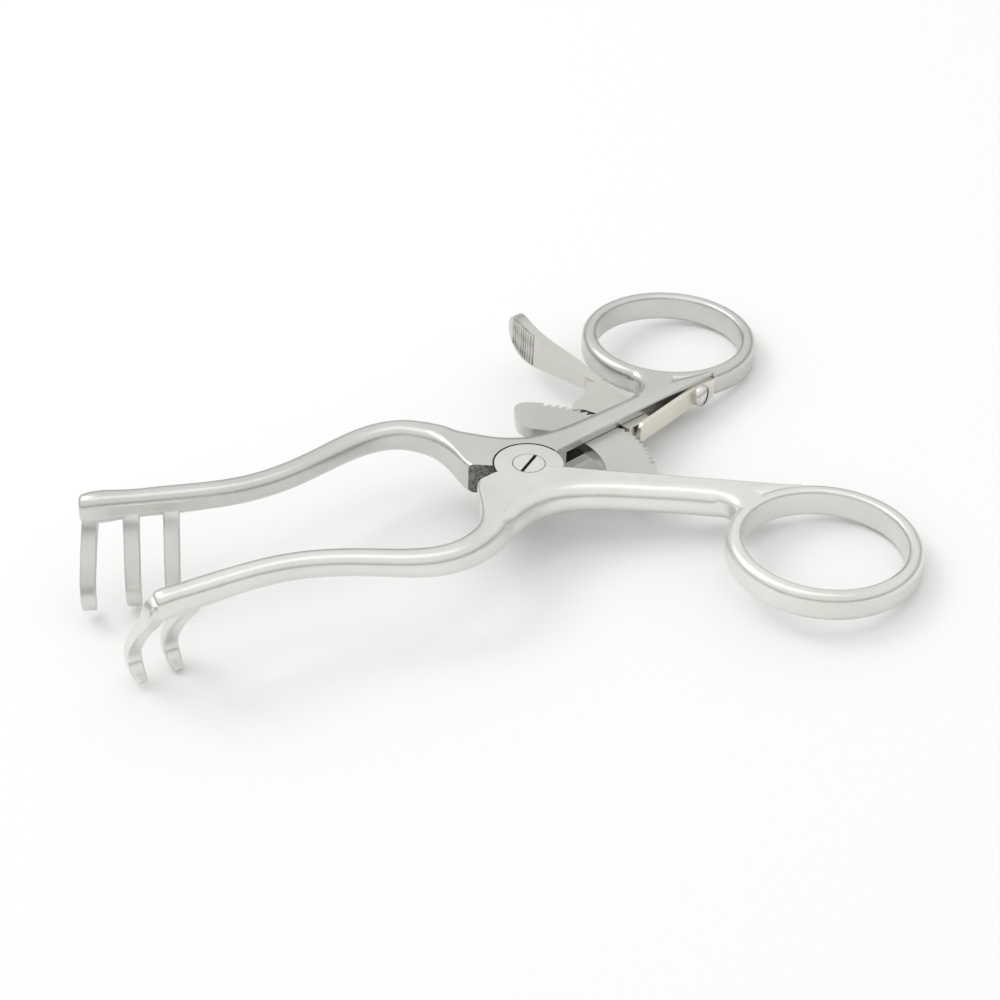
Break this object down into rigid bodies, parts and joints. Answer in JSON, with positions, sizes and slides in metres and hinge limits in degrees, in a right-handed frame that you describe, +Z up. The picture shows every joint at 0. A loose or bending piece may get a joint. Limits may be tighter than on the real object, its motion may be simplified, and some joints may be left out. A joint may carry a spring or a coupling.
{
  "type": "self retaining retractor",
  "caption": "Hinged spreading retractor with finger rings, angled arms ending in hooked prongs, and a curved ratchet rack held by a sprung thumb release lever.",
  "frame": {"origin": "middle of the rest footprint, on the table plane that the prong tips and finger rings stand on", "axes": "+Z up, -X towards the prongs, +X towards the finger rings, +Y towards the three-prong arm"},
  "size_m": [0.1284, 0.0972, 0.0208],
  "materials": {
    "arm_steel": "satin stainless steel, fine glass-bead matt",
    "rack_steel": "satin stainless steel with machined teeth",
    "lever_steel": "satin stainless steel, slightly warm",
    "spring_steel": "brushed hardened strip, slightly warm",
    "screw_steel": "polished turned head",
    "pin_steel": "ground flush pin ends"
  },
  "bodies": {
    "near_arm": {"arm_two_prong": "arm_steel", "ratchet_rack": "rack_steel", "rack_pin": "pin_steel"},
    "far_arm": {"arm_three_prong": "arm_steel", "pivot_screw": "screw_steel", "lever_pin": "pin_steel", "leaf_spring": "spring_steel", "leaf_screw": "screw_steel"},
    "lever": {"release_lever": "lever_steel"}
  },
  "joints": [
    {"name": "arm_hinge", "type": "hinge", "parent": "near_arm", "child": "far_arm", "pos_m": [0.01111, 0, 0.01062], "axis": [-0.152, 0, -0.9884], "range_deg": [-14.4, 28.8]},
    {"name": "lever_pivot", "type": "hinge", "parent": "far_arm", "child": "lever", "pos_m": [0.03109, 0.01102, 0.00755], "axis": [-0.152, 0, -0.9884], "range_deg": [0, 6], "stiffness_Nm_per_rad": 0.4, "springref_deg": -5.73, "deforming": ["leaf_spring"]}
  ]
}
